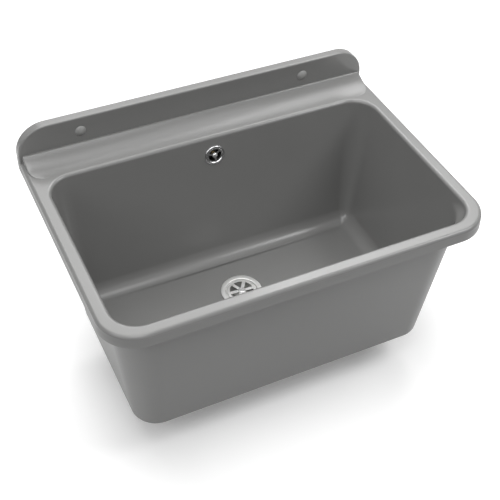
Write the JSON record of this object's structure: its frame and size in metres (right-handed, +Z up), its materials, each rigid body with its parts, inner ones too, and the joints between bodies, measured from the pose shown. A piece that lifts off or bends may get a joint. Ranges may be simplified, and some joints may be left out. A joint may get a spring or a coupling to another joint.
{
  "type": "service sink",
  "caption": "Wall-hung one-piece grey plastic mop sink with a deep tapered bowl, upstand, cove, strainer waste and overflow.",
  "frame": {"origin": "on the face that meets the wall, in the middle of the width, at the height of the wall screw holes", "axes": "+X to the right seen from the front, +Y into the wall, +Z up"},
  "size_m": [0.6, 0.42, 0.4001],
  "materials": {
    "moulding": "satin grey polypropylene",
    "cap": "satin light grey",
    "sheet_steel": "finely brushed stainless sheet",
    "screw": "polished",
    "chrome": "polished plating",
    "seal": "black rubber",
    "fitting": "white polypropylene",
    "overflow_fitting": "black polypropylene",
    "nut": "black polypropylene",
    "insert": "turned brass"
  },
  "bodies": {
    "sink": {"basin": "moulding", "strainer": "sheet_steel", "strainer_screw": "screw", "strainer_seal": "seal", "waste_body": "fitting", "waste_seal": "seal", "waste_insert": "insert", "overflow_rosette": "chrome", "overflow_screw": "screw", "overflow_seal": "seal", "overflow_elbow": "overflow_fitting", "overflow_insert": "insert", "overflow_pipe": "overflow_fitting", "elbow_nut": "nut", "elbow_cone_seal": "seal", "inlet_nut": "nut", "inlet_cone_seal": "seal"},
    "left_cap": {"left_cap": "cap"},
    "right_cap": {"right_cap": "cap"}
  },
  "joints": [
    {"name": "left_cap_pull", "type": "slide", "parent": "sink", "child": "left_cap", "axis": [0, -1, 0], "range_m": [0, 0.012]},
    {"name": "right_cap_pull", "type": "slide", "parent": "sink", "child": "right_cap", "axis": [0, -1, 0], "range_m": [0, 0.012]}
  ]
}
